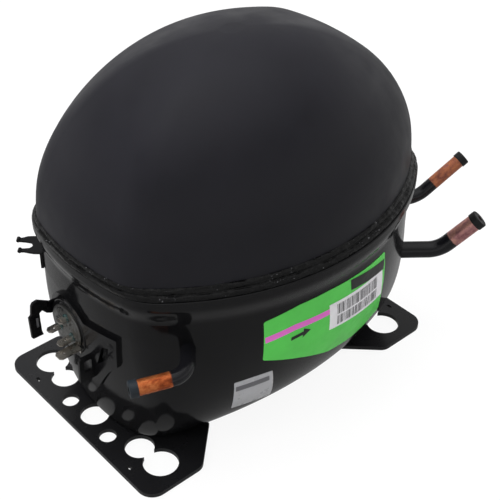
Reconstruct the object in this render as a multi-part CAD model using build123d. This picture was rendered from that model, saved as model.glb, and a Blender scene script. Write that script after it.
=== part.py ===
from build123d import *
from math import sin, cos, radians, sqrt, hypot, atan2, pi
import os

os.makedirs("parts", exist_ok=True)

# ---------------------------------------------------------------- driving dimensions (mm)
# Origin: centre of the mounting-hole pattern on the underside of the foot plates.
# +X towards the end with the suction and discharge stubs, +Y away from the rating label, +Z up.

# housing
SHELL_X = 7.15         # housing centre ahead of the hole-pattern centre
SHELL_A = 102.2        # half length of the housing wall
SHELL_B = 82.4         # half width of the housing wall
SHELL_RC = 26.0        # corner radius of the oval
SHELL_RS = 139.0       # side radius of the oval
SHELL_RE = 146.0       # end radius of the oval
WALL = 3.0             # sheet thickness
SHELL_BOTTOM = 3.5     # outer bottom of the lower housing
DISH_TOP = 80.0        # where the bottom dish runs out into the upright wall
DISH_A = 93.9          # half length of the flat bottom
DISH_B = 46.6          # half width of the flat bottom
DISH_RC = 21.7         # radii of the bottom oval
DISH_RS = 306.0
DISH_RE = 97.5
DISH_BOW_A = 1.4       # fullness of the dish profile towards the ends, 2 is an ellipse
DISH_BOW_B = 1.7       # and towards the sides
RIM_OUT = 3.5          # outward reach of the flared rim
RIM_WIDE = 105.5       # where the flare is complete
FLARE_H = 12.0         # height over which the wall flares out
RIM_LOW = RIM_WIDE - FLARE_H
LIP_H = 4.1            # upright lip above the flare
RIM_TOP = RIM_WIDE + LIP_H
WELD_GAP = 0.3         # groove between the rim and the upper housing
WELD_H = 5.7           # height of the weld bead above the rim
WELD_TOP = RIM_TOP + WELD_H
SEAT_Z = RIM_WIDE + 0.3  # shoulder the upper housing stands on
DOME_OUT_A = 2.3       # upper housing longer than the lower wall, per end
DOME_OUT_B = -1.1      # and narrower, per side
DOME_Z = WELD_TOP      # where the dome starts to close in
DOME_FULL = 0.46       # exponent of the dome profile, 0.5 would be an ellipse
TOP_Z = 203.0          # top of the dome

# foot plates
PLATE_T = 2.5
PLATE_X = 104.8        # outer edge
PLATE_Y = 66.9         # end edge
PLATE_SHOULDER = 70.0  # where the end edge turns into the chamfer
PLATE_IN_X = 48.0      # inner edge
PLATE_IN_Y = 46.0      # half width of the inner edge
PLATE_R = 9.0
HOLE_X = 85.0          # grommet holes, half of the 170 mm spacing
HOLE_Y = 50.8          # half of the 101.6 mm spacing
HOLE_R = 9.5
HOLE2_X = 86.9
HOLE2_Y = 35.0         # second pattern, half of the 70 mm spacing
HOLE2_R = 8.0
MID_HOLE_X = 91.1
SMALL_HOLE_X = 95.1
SMALL_HOLE_Y = 17.6
SMALL_HOLE_R = 4.75
LOCATE_X = 99.6
LOCATE_Y = 43.0

# stubs: bore radius, wall, cap
STUB_WALL = 0.8
SUCTION_R = 4.9        # outside radius, 8.2 mm bore
SERVICE_R = 3.9        # outside radius, 6.2 mm bore
CAP_WALL = 0.4
CAP_GAP = 0.1
CAP_LENGTH = 4.2

# terminal
TERM_Y = 9.2
TERM_Z = 62.8
TERM_R = 11.4
SEAT_R = 15.2          # formed seat of the terminal in the wall
SEAT_OUT = 1.7         # its face ahead of the end of the wall
HEADER_OUT = 2.6
PIN_R = 1.15
PIN_CIRCLE = 6.3

# pump and motor axis
AXIS_X = -6.0
STATOR_HALF = 52.0
STATOR_Z0 = 40.0
STATOR_Z1 = 96.0
STATOR_BORE_R = 28.0
SLOT_COUNT = 24
SLOT_R0 = 29.3
SLOT_R1 = 43.0
SLOT_W = 4.2
LINER_T = 0.3
BOLT_OFF = 43.0        # stator bolt and spring offset from the axis
BOLT_R = 2.5
ROTOR_R = 27.6
ROTOR_END = 6.0        # height of the cage end rings
SHAFT_R = 9.0
RUN_FIT = 0.03         # radial running clearance

# crank and pump
STROKE = 12.0
BORE_R = 12.02
PISTON_R = 11.98
THROW = STROKE / 4     # crankpin throw, equal to the eccentricity of its bush
CYL_Z = 146.0          # height of the cylinder axis
DECK_Z0 = 118.0        # block deck
DECK_Z1 = 126.0
WASHER_T = 1.5
WEB_Z0 = DECK_Z1 + WASHER_T
WEB_Z1 = 137.0
CRANKPIN_R = 7.0
PIN_TOP = 156.0
BUSH_R = 12.0
BUSH_H = 13.0
ROD_LENGTH = 40.0
ROD_EYE_R = 17.0
WRIST_R = 4.5
LOCK_Z = 9.6             # height of the cross pin above the cylinder axis
PISTON_LENGTH = 22.0
PISTON_CROWN = 11.0    # wrist pin to crown
BLOCK_X0 = AXIS_X + 24.5
BLOCK_X1 = AXIS_X + ROD_LENGTH + STROKE / 2 + PISTON_CROWN + 0.5
HEAD_HALF_Y = 25.0
HEAD_HALF_Z = 20.0
GASKET_T = 0.5
REED_T = 0.4
PLATE_V_T = 4.0
HEAD_T = 18.0
HEAD_BOLT_Y = 20.0
HEAD_BOLT_Z = 15.5
HEAD_BOLT_R = 2.5

X_GASKET = BLOCK_X1
X_REED = X_GASKET + GASKET_T
X_VALVE = X_REED + REED_T
X_HGASKET = X_VALVE + PLATE_V_T
X_HEAD = X_HGASKET + GASKET_T
X_END = X_HEAD + HEAD_T

SUCTION_PORT = (-5.5, CYL_Z - 1.0)
DISCHARGE_PORT = (5.5, CYL_Z + 2.0)

# suspension
SPRING_R = 6.0
SPRING_WIRE = 0.9
SPRING_Z0 = 20.0
SPRING_Z1 = 38.2

# suction muffler
MUF_X0 = 56.0
MUF_X1 = 84.0
MUF_Y0 = -42.0
MUF_Y1 = -8.0
MUF_Z0 = 64.0
MUF_Z1 = 112.0
MUF_WALL = 2.0

# discharge muffler
DMUF_X = AXIS_X + 31.0
DMUF_Y = 38.0
DMUF_R = 14.0
DMUF_TOP = 144.0
LINE_R = 2.4           # inner discharge line
LINE_WALL = 0.7
LINE_Z = 132.0

# tube stub routes on their centre lines, set from the ends and the side of the wall
STUB_END = SHELL_X + SHELL_A
TERMINAL_END = SHELL_X - SHELL_A
SUCTION_ROUTE = [
    (STUB_END - 15.65, -43.0, 48.8),
    (STUB_END + 7.15, -61.5, 48.8),
    (STUB_END + 23.45, -74.8, 70.3),
]
DISCHARGE_ROUTE = [
    (STUB_END - 8.35, -24.0, 67.2),
    (STUB_END + 18.65, -33.0, 67.2),
    (STUB_END + 45.05, -42.4, 88.2),
]
PROCESS_ROUTE = [
    (TERMINAL_END + 29.2, 30.3 - SHELL_B, 78.4),
    (TERMINAL_END + 12.75, 11.1 - SHELL_B, 77.2),
    (TERMINAL_END - 13.05, 21.6 - SHELL_B, 76.1),
]
LINE_BEND = 16.0       # suction and discharge stubs
PROCESS_BEND = 11.0


# ---------------------------------------------------------------- helpers
def corner_centre(a, b, rc, rs, re):
    """Centre of an oval's corner arc, from the middle of the oval."""
    side_y = b - rs
    end_x = a - re
    dist = hypot(end_x, side_y)
    r1 = rs - rc
    r2 = re - rc
    k = (r1 ** 2 - r2 ** 2 + dist ** 2) / (2 * dist)
    h = sqrt(max(r1 ** 2 - k ** 2, 0.0))
    ux = end_x / dist
    uy = -side_y / dist
    first = (k * ux - h * uy, side_y + k * uy + h * ux)
    second = (k * ux + h * uy, side_y + k * uy - h * ux)
    return max(first, second, key=lambda p: p[0] + p[1])


def oval(a, b, rc, rs, re, z):
    """Closed oval face at height z: two side arcs, two end arcs and four corner arcs."""
    side_y = b - rs
    end_x = a - re
    cx, cy = corner_centre(a, b, rc, rs, re)
    ang_e = atan2(cy, cx - end_x)
    ang_s = atan2(cy - side_y, cx)
    ang_m = (ang_e + ang_s) / 2
    ex = end_x + re * cos(ang_e)
    ey = re * sin(ang_e)
    mx = cx + rc * cos(ang_m)
    my = cy + rc * sin(ang_m)
    sx = rs * cos(ang_s)
    sy = side_y + rs * sin(ang_s)

    def at(x, y):
        return (SHELL_X + x, y, z)

    arcs = [
        ThreePointArc(at(ex, -ey), at(a, 0), at(ex, ey)),
        ThreePointArc(at(ex, ey), at(mx, my), at(sx, sy)),
        ThreePointArc(at(sx, sy), at(0, b), at(-sx, sy)),
        ThreePointArc(at(-sx, sy), at(-mx, my), at(-ex, ey)),
        ThreePointArc(at(-ex, ey), at(-a, 0), at(-ex, -ey)),
        ThreePointArc(at(-ex, -ey), at(-mx, -my), at(-sx, -sy)),
        ThreePointArc(at(-sx, -sy), at(0, -b), at(sx, -sy)),
        ThreePointArc(at(sx, -sy), at(mx, -my), at(ex, -ey)),
    ]
    return make_face(Curve() + arcs)


def wall_oval(grow, z):
    """The housing outline moved outwards by grow."""
    return oval(SHELL_A + grow, SHELL_B + grow, SHELL_RC + grow, SHELL_RS + grow, SHELL_RE + grow, z)


def upright(grow, z0, z1):
    """Upright oval solid between two heights."""
    return extrude(wall_oval(grow, z0), z1 - z0, dir=(0, 0, 1))


def dish(grow, bottom):
    """Bottom dish of the housing, closing in from the upright wall to the flat bottom."""
    faces = []
    for deg in (0, 11, 22, 33, 44, 55, 66, 77, 90):
        t = sin(radians(deg))
        draw_a = 1 - (1 - t ** DISH_BOW_A) ** (1 / DISH_BOW_A)
        draw_b = 1 - (1 - t ** DISH_BOW_B) ** (1 / DISH_BOW_B)
        a = SHELL_A + (DISH_A - SHELL_A) * draw_a
        b = SHELL_B + (DISH_B - SHELL_B) * draw_b
        rc = SHELL_RC + (DISH_RC - SHELL_RC) * draw_b
        rs = SHELL_RS + (DISH_RS - SHELL_RS) * draw_b
        re = SHELL_RE + (DISH_RE - SHELL_RE) * draw_b
        z = DISH_TOP - (DISH_TOP - bottom) * t
        faces.append(oval(a + grow, b + grow, rc + grow, rs + grow, re + grow, z))
    return loft(faces[::-1])


def lower_solid(grow, bottom, top):
    """Solid envelope of the lower housing: dish and upright wall."""
    return dish(grow, bottom) + upright(grow, DISH_TOP, top)


def dome_oval(grow, z, s=1.0):
    """The upper housing's outline moved outwards by grow, and scaled by s."""
    return oval((SHELL_A + DOME_OUT_A + grow) * s, (SHELL_B + DOME_OUT_B + grow) * s, (SHELL_RC + grow) * s,
                (SHELL_RS + grow) * s, (SHELL_RE + grow) * s, z)


def dome_upright(grow, z0, z1):
    """Upright solid on the upper housing's outline."""
    return extrude(dome_oval(grow, z0), z1 - z0, dir=(0, 0, 1))


def dome_solid(grow, bottom):
    """Solid envelope of the upper housing."""
    height = TOP_Z - DOME_Z + grow
    faces = []
    for deg in (0, 12, 24, 36, 48, 58, 67, 75, 82, 87):
        s = cos(radians(deg)) ** (2 * DOME_FULL)
        z = DOME_Z + height * sin(radians(deg)) / sin(radians(87))
        faces.append(dome_oval(grow, z, s))
    return dome_upright(grow, bottom, DOME_Z) + loft(faces)


def rod_z(radius, x, y, z0, z1):
    """Upright cylinder between two heights."""
    return Pos(x, y, (z0 + z1) / 2) * Cylinder(radius, z1 - z0)


def rod_x(radius, y, z, x0, x1):
    """Cylinder along X."""
    return Pos((x0 + x1) / 2, y, z) * Rot(0, 90, 0) * Cylinder(radius, x1 - x0)


def rod_y(radius, x, z, y0, y1):
    """Cylinder along Y."""
    return Pos(x, (y0 + y1) / 2, z) * Rot(90, 0, 0) * Cylinder(radius, y1 - y0)


def block(x0, x1, y0, y1, z0, z1):
    """Box given by its limits."""
    return Pos((x0 + x1) / 2, (y0 + y1) / 2, (z0 + z1) / 2) * Box(x1 - x0, y1 - y0, z1 - z0)


def route_line(points, bend):
    """Straight runs joined by tangent arcs."""
    if len(points) == 2:
        return Line(points[0], points[1])
    return FilletPolyline(*points, radius=bend)


def pipe(points, bend, outer, inner=0.0):
    """Round bar or tube along a route."""
    path = route_line(points, bend)
    ring = Circle(outer)
    if inner > 0:
        ring = Circle(outer) - Circle(inner)
    section = Plane(origin=path @ 0, z_dir=path % 0) * ring
    return sweep(section, path=path)


def save(name, shape):
    """Write one named piece."""
    export_step(shape, "parts/" + name + ".step")


# ---------------------------------------------------------------- housing
def stub_holes():
    """Round openings of the three stubs through the wall."""
    cuts = [pipe(SUCTION_ROUTE[:2], 1, SUCTION_R)]
    for route in (DISCHARGE_ROUTE, PROCESS_ROUTE):
        cuts.append(pipe(route[:2], 1, SERVICE_R))
    return cuts


def flare():
    """Rim of the lower housing: the wall flares out smoothly to an upright lip."""
    faces = []
    for k in range(7):
        u = k / 6
        faces.append(wall_oval(RIM_OUT * u * u * (3 - 2 * u), RIM_LOW + (RIM_WIDE - RIM_LOW) * u))
    body = loft(faces) + upright(RIM_OUT, RIM_WIDE, RIM_TOP)
    lip = body.edges().group_by(Axis.Z)[-1]
    return fillet(lip, 0.6)


def lower_outside():
    """Outside of the lower housing as one solid."""
    return lower_solid(0, SHELL_BOTTOM, RIM_LOW) + flare()


def lower_housing():
    """Drawn lower can with its flared rim and the formed seat of the terminal."""
    body = lower_outside()
    seat = rod_x(SEAT_R, TERM_Y, TERM_Z, SHELL_X - SHELL_A - SEAT_OUT, SHELL_X - SHELL_A + 6)
    body += fillet(seat.edges().group_by(Axis.X)[0], 0.9)
    body -= lower_solid(-WALL, SHELL_BOTTOM + WALL, SEAT_Z + 0.01)
    body -= dome_upright(WELD_GAP, SEAT_Z, RIM_TOP + 1)
    body -= rod_x(TERM_R, TERM_Y, TERM_Z, SHELL_X - SHELL_A - 10, SHELL_X - SHELL_A + 10)
    for cut in stub_holes():
        body -= cut
    return body


def upper_housing():
    """Domed upper can standing on the shoulder of the lower one."""
    return dome_solid(0, SEAT_Z) - dome_solid(-WALL, SEAT_Z - 1)


def bead_oval(t, z):
    """Outline between the rim (t 0) and the upper housing (t 1)."""
    a = SHELL_A + RIM_OUT * (1 - t) + DOME_OUT_A * t
    b = SHELL_B + RIM_OUT * (1 - t) + DOME_OUT_B * t
    grow = RIM_OUT * (1 - t)
    return oval(a, b, SHELL_RC + grow, SHELL_RS + grow, SHELL_RE + grow, z)


def seam_weld():
    """Double weld bead from the rim's edge up to the dome."""
    step = WELD_TOP - RIM_TOP
    faces = []
    for t, u in ((0.22, 0.0), (0.18, 0.10), (0.26, 0.22), (0.50, 0.32), (0.58, 0.37), (0.50, 0.44),
                 (0.55, 0.56), (0.76, 0.66), (0.84, 0.72), (0.78, 0.80), (0.84, 0.92), (0.96, 1.0)):
        faces.append(bead_oval(t, RIM_TOP + step * u))
    ring = loft(faces, ruled=True) + dome_upright(WELD_GAP, RIM_TOP - 2.0, RIM_TOP)
    return ring - dome_upright(0, RIM_TOP - 5, RIM_TOP + 10)


def foot_plate(side):
    """Stamped foot plate; side is -1 for the terminal end and +1 for the stub end."""
    outline = [
        (PLATE_IN_X, PLATE_IN_Y),
        (PLATE_SHOULDER, PLATE_Y),
        (PLATE_X, PLATE_Y),
        (PLATE_X, -PLATE_Y),
        (PLATE_SHOULDER, -PLATE_Y),
        (PLATE_IN_X, -PLATE_IN_Y),
    ]
    points = [(side * x, y) for x, y in outline]
    face = make_face(Polyline(*points, close=True))
    outer = [v for v in face.vertices() if abs(v.X) > PLATE_SHOULDER + 1]
    face = fillet(outer, PLATE_R)
    bends = [v for v in face.vertices() if abs(abs(v.X) - PLATE_SHOULDER) < 0.01]
    face = fillet(bends, 7.0)
    plate = extrude(face, PLATE_T)
    land = Pos(side * 64.5, 0) * RectangleRounded(29, 58, 6)
    pocket = Pos(side * 64.5, 0) * RectangleRounded(24, 53, 3.5)
    plate += extrude(land, SHELL_BOTTOM)
    plate -= extrude(pocket, SHELL_BOTTOM - PLATE_T)
    for y in (-1, 1):
        plate -= rod_z(HOLE_R, side * HOLE_X, y * HOLE_Y, -1, PLATE_T + 1)
        plate -= rod_z(HOLE2_R, side * HOLE2_X, y * HOLE2_Y, -1, PLATE_T + 1)
        plate -= rod_z(SMALL_HOLE_R, side * SMALL_HOLE_X, y * SMALL_HOLE_Y, -1, PLATE_T + 1)
        slot = Pos(side * LOCATE_X, y * LOCATE_Y) * SlotOverall(3.4, 1.8, rotation=90)
        plate -= extrude(slot, PLATE_T + 1)
    plate -= rod_z(HOLE2_R, side * MID_HOLE_X, 0, -1, PLATE_T + 1)
    return plate


# ---------------------------------------------------------------- stubs and caps
def stub(route, bend, radius):
    """Tube stub brazed through the wall."""
    return pipe(route, bend, radius, radius - STUB_WALL)


def cap(route, radius):
    """Push-on cap around the open end of a stub."""
    end = Vector(*route[-1])
    along = (end - Vector(*route[-2])).normalized()
    mouth = end - along * (CAP_LENGTH - CAP_WALL - 0.2)
    where = Plane(origin=mouth, z_dir=along)
    body = extrude(where * Circle(radius + CAP_GAP + CAP_WALL), CAP_LENGTH)
    tip = body.faces().sort_by(lambda f: (f.center() - mouth).dot(along))[-1]
    body = fillet(tip.edges(), 0.6)
    body -= extrude(where * Circle(radius + CAP_GAP), CAP_LENGTH - CAP_WALL)
    dimple = Plane(origin=mouth + along * CAP_LENGTH, z_dir=along)
    return body - extrude(dimple * Circle(radius * 0.35), -0.4)


# ---------------------------------------------------------------- terminal end
def pin_spots():
    """Centres of the three terminal pins."""
    spots = []
    for deg in (-23, 97, 217):
        spots.append((TERM_Y + PIN_CIRCLE * cos(radians(deg)), TERM_Z + PIN_CIRCLE * sin(radians(deg))))
    return spots


def end_x():
    """Outer face of the wall at the terminal end."""
    return SHELL_X - SHELL_A


def terminal_header():
    """Steel cup of the sealed terminal, welded into the wall."""
    x = end_x()
    body = rod_x(TERM_R, TERM_Y, TERM_Z, x - HEADER_OUT, x + 6.0)
    body = fillet(body.edges().group_by(Axis.X)[0], 0.8)
    body += rod_x(TERM_R + 1.2, TERM_Y, TERM_Z, x - SEAT_OUT - 0.7, x - SEAT_OUT)
    groove = rod_x(TERM_R - 0.9, TERM_Y, TERM_Z, x - 0.8, x + 7.0)
    body -= groove - rod_x(TERM_R - 2.3, TERM_Y, TERM_Z, x - 2, x + 8)
    for y, z in pin_spots():
        body -= rod_x(PIN_R + 1.4, y, z, x - 5, x + 10)
    return body


def terminal_glass():
    """Three glass beads around the pins."""
    x = end_x()
    beads = []
    for y, z in pin_spots():
        beads.append(rod_x(PIN_R + 1.4, y, z, x - 3.2, x + 6.0) - rod_x(PIN_R, y, z, x - 5, x + 10))
    return Compound(children=beads)


def spade(length, width):
    """Flat blade along -X from the origin, with its corners taken off and a small hole."""
    blade = block(-length, 0, -width / 2, width / 2, -0.4, 0.4)
    tip = blade.edges().filter_by(Axis.Z).sort_by(Axis.X)[:2]
    blade = chamfer(tip, 1.3)
    return blade - rod_z(0.7, -length + 4.0, 0, -2, 2)


def terminal_pins():
    """Three pins, each with a spade welded to its outer end."""
    x = end_x()
    pins = []
    for (y, z), length in zip(pin_spots(), (7.0, 4.2, 8.0)):
        pin = rod_x(PIN_R, y, z, x - 6.0, x + 12.0)
        pins.append(pin + Pos(x - 3.6, y, z) * spade(length, 4.8))
    return Compound(children=pins)


BRACKET_T = 1.5
EAR_PLUS_Y = TERM_Y + 15.8
EAR_MINUS_Y = TERM_Y - 19.2
# outlines from the end of the wall and the centre of the terminal: (X, Z) for the ears, (Y, Z) for the strap
EAR_PLUS = [
    (7.05, 6.6), (-1.95, 7.0), (-9.35, 11.6), (-12.15, 11.2), (-13.25, 9.6), (-13.95, 3.6),
    (-15.35, 2.6), (-14.85, -11.0), (-14.15, -11.8), (-7.95, -12.0), (-8.75, -8.8), (-9.05, 2.8),
    (-7.35, 4.0), (-4.55, 0.6), (-1.95, -0.8), (7.05, -0.8),
]
EAR_MINUS = [
    (7.05, -6.4), (-7.95, -6.0), (-8.95, -7.2), (-9.25, -21.2), (-8.55, -22.0), (7.05, -22.1),
]
STRAP = [
    (-14.2, -31.8), (-18.2, -32.8), (-30.6, -12.7), (-38.0, -4.6), (-39.5, 14.2),
    (-29.2, 13.2), (-13.2, 11.2), (-13.2, -2.8), (-16.2, -17.8),
]
STRAP_WINDOW = [(-28.6, 4.0), (-33.4, 5.8), (-32.0, -2.2), (-22.6, -11.6)]


def plate_xz(points, y):
    """Upright plate square to Y from an outline given as (X, Z) from the terminal."""
    outline = [(end_x() + px, y + BRACKET_T / 2, TERM_Z + pz) for px, pz in points]
    return extrude(make_face(Polyline(*outline, close=True)), BRACKET_T, dir=(0, -1, 0))


def plate_yz(points, depth):
    """Upright prism inwards along X from an outline given as (Y, Z) from the terminal."""
    outline = [(end_x() - 6, TERM_Y + py, TERM_Z + pz) for py, pz in points]
    return extrude(make_face(Polyline(*outline, close=True)), depth, dir=(1, 0, 0))


def terminal_bracket():
    """Welded plate around the terminal with a strap on one side and two windowed ears."""
    x = end_x()
    plate = rod_x(SEAT_R + 3.6, TERM_Y, TERM_Z, x - 4, x + 12)
    plate += plate_yz(STRAP, 22) - plate_yz(STRAP_WINDOW, 23)
    plate = plate & lower_solid(2.2, SHELL_BOTTOM - 1, 100)
    recess_y = EAR_PLUS_Y - BRACKET_T / 2 + 0.8
    recess = block(x - 11.55, x - 9.85, EAR_PLUS_Y - 5, recess_y, TERM_Z - 6.4, TERM_Z + 0.6)
    plus = plate_xz(EAR_PLUS, EAR_PLUS_Y) - recess
    window = block(x - 6.15, x - 1.75, EAR_MINUS_Y - 5, EAR_MINUS_Y + 5, TERM_Z - 16.0, TERM_Z - 8.8)
    minus = plate_xz(EAR_MINUS, EAR_MINUS_Y) - fillet(window.edges().filter_by(Axis.Y), 0.8)
    body = plate + plus + minus
    body -= rod_x(SEAT_R + 0.3, TERM_Y, TERM_Z, x - 9, x + 12)
    return body - lower_solid(0, SHELL_BOTTOM, 100)


EARTH_Y = TERM_Y - 10.1
EARTH_Z = TERM_Z - 6.6


def earth_spade():
    """Plain blade beside the pins, its foot welded to the header's face."""
    x = end_x() - HEADER_OUT
    blade = Pos(x, EARTH_Y, EARTH_Z) * spade(13.0, 6.3)
    foot = block(x - 0.8, x, EARTH_Y - 3.15, EARTH_Y + 3.15, EARTH_Z - 2.4, EARTH_Z + 0.4)
    return blade + foot


CLIP_TURN = 137.8      # heading of the clip on the corner of the wall
CLIP_Z = RIM_LOW - 6.1
CLIP_T = 1.1
CLIP_HALF = 7.5
# outline of the fork, first away from the wall and then along it
FORK = [
    (-0.9, CLIP_HALF), (3.5, CLIP_HALF), (6.5, 6.9), (9.1, 6.2), (11.9, 6.3), (11.9, 4.0),
    (9.0, 3.8), (6.5, 3.4), (5.3, 1.9), (5.3, -0.1), (6.5, -1.8), (9.5, -2.5), (14.3, -3.1),
    (14.3, -5.7), (11.9, -5.7), (9.1, -7.1), (3.5, -CLIP_HALF), (-0.9, -CLIP_HALF),
]


def hook_clip():
    """Angle of bent sheet on the corner of the wall, its fork curled up at the tips."""
    cx, cy = corner_centre(SHELL_A, SHELL_B, SHELL_RC, SHELL_RS, SHELL_RE)
    turn = radians(CLIP_TURN)
    place = Pos(SHELL_X - cx + SHELL_RC * cos(turn), cy + SHELL_RC * sin(turn), 0) * Rot(0, 0, CLIP_TURN)
    fork = Pos(0, 0, CLIP_Z - CLIP_T / 2) * extrude(Polygon(*FORK, align=None), CLIP_T, dir=(0, 0, 1))
    fork += rod_y(CLIP_T, 11.5, CLIP_Z + 0.2, 4.0, 6.3)
    fork += rod_y(CLIP_T, 13.9, CLIP_Z + 0.2, -5.7, -3.1)
    back = block(-0.9, CLIP_T - 0.5, -CLIP_HALF, CLIP_HALF, CLIP_Z - 9.8, CLIP_Z + CLIP_T / 2)
    return place * (fork + back) - lower_solid(0, SHELL_BOTTOM, RIM_LOW)


# ---------------------------------------------------------------- labels
LABEL_T = 0.25
RATING_OUTLINE = [
    (-36.0, 60.6), (-37.2, 87.0), (-17.7, 91.0), (0.3, 91.6), (15.5, 91.0), (48.0, 89.2), (54.9, 52.0),
    (59.6, 37.4), (46.3, 35.6), (33.1, 34.9), (11.4, 39.6), (-12.1, 50.6), (-25.6, 56.2),
]
SERIAL_OUTLINE = [
    (-49.2, 48.4), (-39.5, 49.2), (-28.7, 49.2), (-20.4, 19.4), (-33.6, 22.0), (-45.5, 23.6),
]


def wall_label(outline, corner):
    """Thin label on the -Y side of the wall; the outline is (x, z) seen from the front."""
    can = lower_solid(0, SHELL_BOTTOM, RIM_LOW)
    skin = Pos(0, -LABEL_T, 0) * can
    face = make_face(Polyline(*[(x, 0, z) for x, z in outline], close=True))
    face = fillet(face.vertices(), corner)
    patch = extrude(face, 120, dir=(0, -1, 0))
    return (skin & patch) - Pos(0, -0.03, 0) * can


# ---------------------------------------------------------------- suspension
def corner_spots():
    """Stator bolt and spring positions."""
    spots = []
    for sx in (-1, 1):
        for sy in (-1, 1):
            spots.append((AXIS_X + sx * BOLT_OFF, sy * BOLT_OFF))
    return spots


def spring_seats_lower():
    """Spring seats welded to the inside of the lower housing."""
    cavity = lower_solid(-WALL, SHELL_BOTTOM + WALL, 60)
    seats = []
    for x, y in corner_spots():
        seat = rod_z(7.5, x, y, SHELL_BOTTOM, SPRING_Z0) & cavity
        seat += rod_z(4.6, x, y, SPRING_Z0 - 1, SPRING_Z0 + 7)
        seats.append(seat)
    return Compound(children=seats)


def suspension_springs():
    """Four coil springs carrying the pump unit."""
    coils = []
    height = SPRING_Z1 - SPRING_Z0 - 2 * SPRING_WIRE
    for x, y in corner_spots():
        path = Pos(x, y, SPRING_Z0 + SPRING_WIRE) * Helix(pitch=height / 4, height=height, radius=SPRING_R)
        section = Plane(origin=path @ 0, z_dir=path % 0) * Circle(SPRING_WIRE)
        coils.append(sweep(section, path=path, is_frenet=True))
    return Compound(children=coils)


def spring_buttons_upper():
    """Plastic buttons on the stator bolt heads, locating the springs."""
    buttons = []
    for x, y in corner_spots():
        button = rod_z(7.5, x, y, SPRING_Z1, STATOR_Z0) + rod_z(4.8, x, y, SPRING_Z1 - 6.5, SPRING_Z1)
        button -= rod_z(4.0, x, y, STATOR_Z0 - 3.5, STATOR_Z0 + 1)
        buttons.append(button)
    return Compound(children=buttons)


# ---------------------------------------------------------------- motor
def slot_places(start=0, step=1):
    """Angles of the stator slots in degrees."""
    return [i * 360 / SLOT_COUNT for i in range(start, SLOT_COUNT, step)]


def radial_box(angle, r0, r1, width, z0, z1):
    """Radial bar about the motor axis."""
    bar = block(r0, r1, -width / 2, width / 2, z0, z1)
    return Pos(AXIS_X, 0, 0) * Rot(0, 0, angle) * bar


def stator_core():
    """Square lamination stack with 24 slots."""
    sheet = Rectangle(2 * STATOR_HALF, 2 * STATOR_HALF)
    sheet = chamfer(sheet.vertices(), 9.0)
    sheet -= Circle(STATOR_BORE_R)
    for angle in slot_places():
        sheet -= Rot(0, 0, angle) * Pos((SLOT_R0 + SLOT_R1) / 2, 0) * Rectangle(SLOT_R1 - SLOT_R0, SLOT_W)
        sheet -= Rot(0, 0, angle) * Pos(SLOT_R0 - 1, 0) * Rectangle(4, 1.8)
    for sx in (-1, 1):
        for sy in (-1, 1):
            sheet -= Pos(sx * BOLT_OFF, sy * BOLT_OFF) * Circle(BOLT_R)
    return Pos(AXIS_X, 0, STATOR_Z0) * extrude(sheet, STATOR_Z1 - STATOR_Z0)


def slot_liners():
    """Insulating liner of every slot."""
    liners = []
    for angle in slot_places():
        outer = radial_box(angle, SLOT_R0 + 0.1, SLOT_R1, SLOT_W, STATOR_Z0 - 1.5, STATOR_Z1 + 1.5)
        bore_w = SLOT_W - 2 * LINER_T
        inner = radial_box(angle, SLOT_R0, SLOT_R1 - LINER_T, bore_w, STATOR_Z0 - 3, STATOR_Z1 + 3)
        liners.append(outer - inner)
    return Compound(children=liners)


def winding_bars(angles, z0, z1, r0, r1):
    """Copper filling of the listed slots."""
    bars = []
    for angle in angles:
        bars.append(radial_box(angle, r0, r1, SLOT_W - 2 * LINER_T - 0.1, z0, z1))
    return bars


def end_turn(r0, r1, z0, z1, round_r):
    """Rounded ring of end turns."""
    ring = rod_z(r1, AXIS_X, 0, z0, z1) - rod_z(r0, AXIS_X, 0, z0 - 1, z1 + 1)
    edges = ring.edges().filter_by(GeomType.CIRCLE)
    return fillet(edges, round_r)


def main_angles():
    """Slots of the main winding."""
    return [a for i, a in enumerate(slot_places()) if i % 3 != 2]


def start_angles():
    """Slots of the start winding."""
    return [a for i, a in enumerate(slot_places()) if i % 3 == 2]


def main_winding():
    """Main winding: outer end turns and its slot filling."""
    ring_top = end_turn(38.6, 47.5, STATOR_Z1 + 2.0, STATOR_Z1 + 13.0, 3.5)
    ring_low = end_turn(38.6, 47.5, STATOR_Z0 - 11.0, STATOR_Z0 - 2.0, 3.5)
    body = ring_top + ring_low
    for bar in winding_bars(main_angles(), STATOR_Z0 - 4.0, STATOR_Z1 + 4.0, 38.7, SLOT_R1 - LINER_T - 0.1):
        body += bar
    for bar in winding_bars(main_angles(), STATOR_Z0, STATOR_Z1, SLOT_R0 + 0.3, 38.8):
        body += bar
    return body


def start_winding():
    """Start winding: inner end turns and its slot filling."""
    ring_top = end_turn(31.0, 38.2, STATOR_Z1 + 2.0, STATOR_Z1 + 11.0, 2.8)
    ring_low = end_turn(31.0, 38.2, STATOR_Z0 - 9.5, STATOR_Z0 - 2.0, 2.8)
    body = ring_top + ring_low
    for bar in winding_bars(start_angles(), STATOR_Z0 - 4.0, STATOR_Z1 + 4.0, 31.2, 38.1):
        body += bar
    for bar in winding_bars(start_angles(), STATOR_Z0, STATOR_Z1, SLOT_R0 + 0.3, SLOT_R1 - LINER_T - 0.1):
        body += bar
    return body


def stator_bolts():
    """Four long bolts clamping the stator to the block."""
    bolts = []
    for x, y in corner_spots():
        head = rod_z(4.0, x, y, STATOR_Z0 - 3.5, STATOR_Z0)
        bolts.append(head + rod_z(BOLT_R, x, y, STATOR_Z0, DECK_Z1 - 2))
    return Compound(children=bolts)


def cage_spots(count=22, radius=24.2):
    """Bar positions of the rotor cage."""
    spots = []
    for i in range(count):
        ang = 2 * pi * i / count
        spots.append((AXIS_X + radius * cos(ang), radius * sin(ang)))
    return spots


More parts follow.
